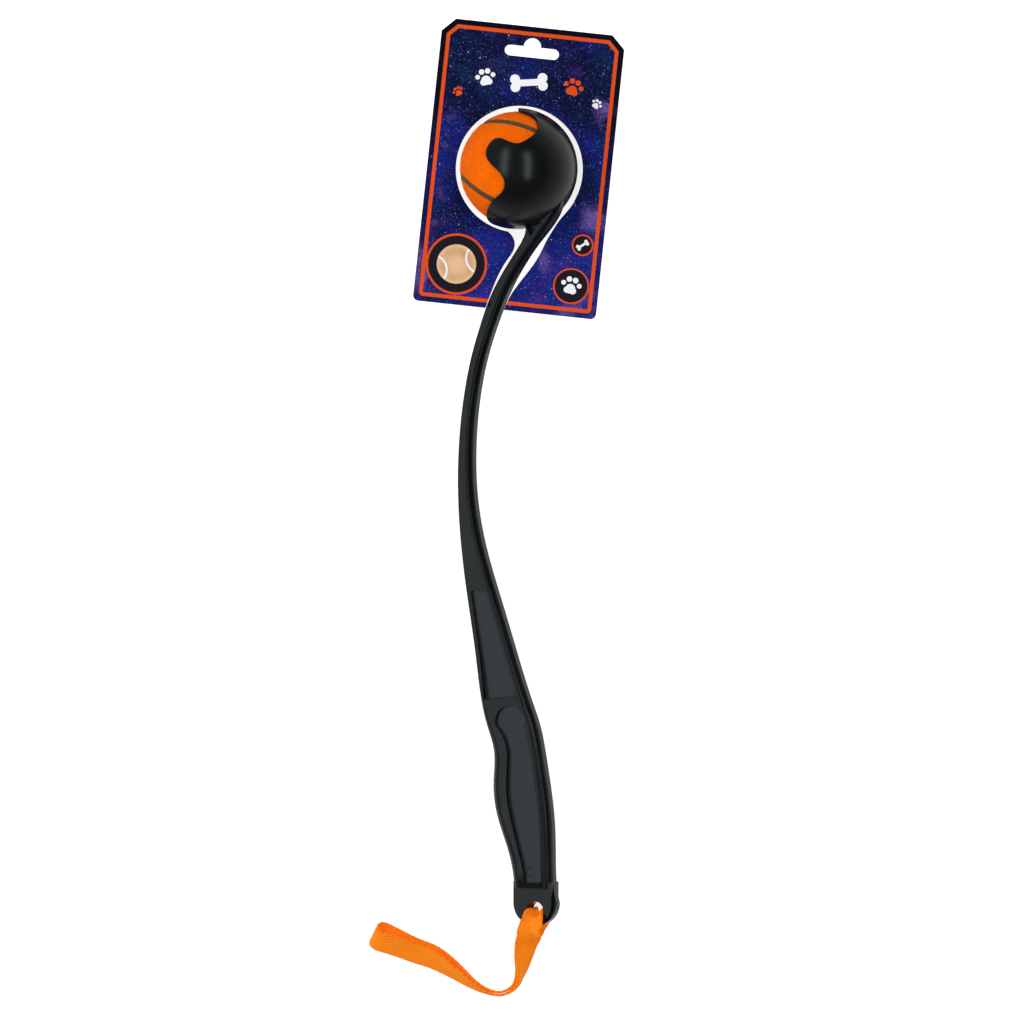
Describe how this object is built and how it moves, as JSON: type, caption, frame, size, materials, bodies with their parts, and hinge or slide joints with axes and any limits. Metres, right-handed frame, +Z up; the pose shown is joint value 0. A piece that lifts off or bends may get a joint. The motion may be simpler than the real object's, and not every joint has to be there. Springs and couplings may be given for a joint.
{
  "type": "dog ball launcher",
  "caption": "Curved throwing stick whose notched cup snaps round a felt ball, with a moulded handle, a wrist strap through its end and a hang card at its head.",
  "frame": {"origin": "middle of the bounding box at floor level, the launcher lying as it comes to rest on a table", "axes": "+Y along the length from the strap towards the ball, +Z up from the table, +X to the right seen from above with the ball at the top"},
  "size_m": [0.1408, 0.5476, 0.0657],
  "materials": {
    "plastic": "black moulded polypropylene with a satin skin",
    "core_rubber": "black pressed rubber, out of sight",
    "felt": "orange brushed felt",
    "seam_cement": "dark olive rubber cement",
    "webbing": "orange herringbone webbing",
    "board": "printed board, dark blue"
  },
  "bodies": {
    "launcher": {"cup": "plastic", "shaft": "plastic", "handle": "plastic"},
    "ball": {"core_half_a": "core_rubber", "core_half_b": "core_rubber", "felt_panel_a": "felt", "felt_panel_b": "felt", "ball_seam": "seam_cement"},
    "strap": {"wrist_strap": "webbing"},
    "card": {"hang_card": "board"}
  },
  "joints": [
    {"name": "ball_release", "type": "slide", "parent": "launcher", "child": "ball", "axis": [-0.8765, 0.2074, -0.4344], "range_m": [0, 0.088], "deforming": ["hang_card"]},
    {"name": "card_off", "type": "slide", "parent": "launcher", "child": "card", "axis": [0, 0, 1], "range_m": [0, 0.07]},
    {"name": "strap_swing", "type": "hinge", "parent": "launcher", "child": "strap", "pos_m": [0.02242, -0.22529, 0.01416], "axis": [-0.4531, -0.051, 0.89], "range_deg": [-30, 60]}
  ]
}
